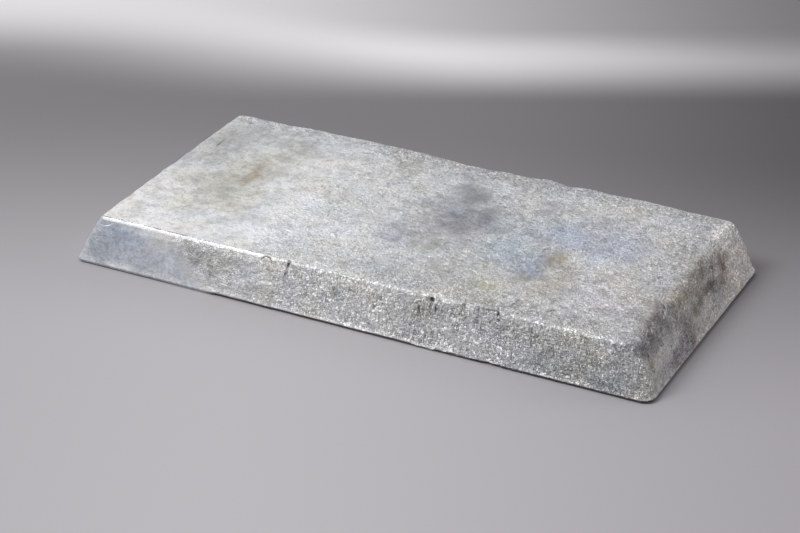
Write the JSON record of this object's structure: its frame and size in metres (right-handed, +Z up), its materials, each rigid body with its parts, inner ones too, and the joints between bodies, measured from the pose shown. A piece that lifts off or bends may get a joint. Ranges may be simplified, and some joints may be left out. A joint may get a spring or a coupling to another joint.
{
  "type": "zinc ingot",
  "caption": "Flat cast zinc slab with drafted walls, rounded corners, a rolled lip and a shallow shrink dish underneath.",
  "frame": {"origin": "middle of the slab's foot, on the floor that it lies on", "axes": "+X along the length, towards the end with the softer top edge; +Y across, away from the crisp long edge; +Z up, out of the smaller mould face"},
  "size_m": [0.46, 0.214, 0.0395],
  "materials": {
    "cast_zinc": "satin"
  },
  "bodies": {
    "root": {"ingot": "cast_zinc"}
  },
  "joints": []
}
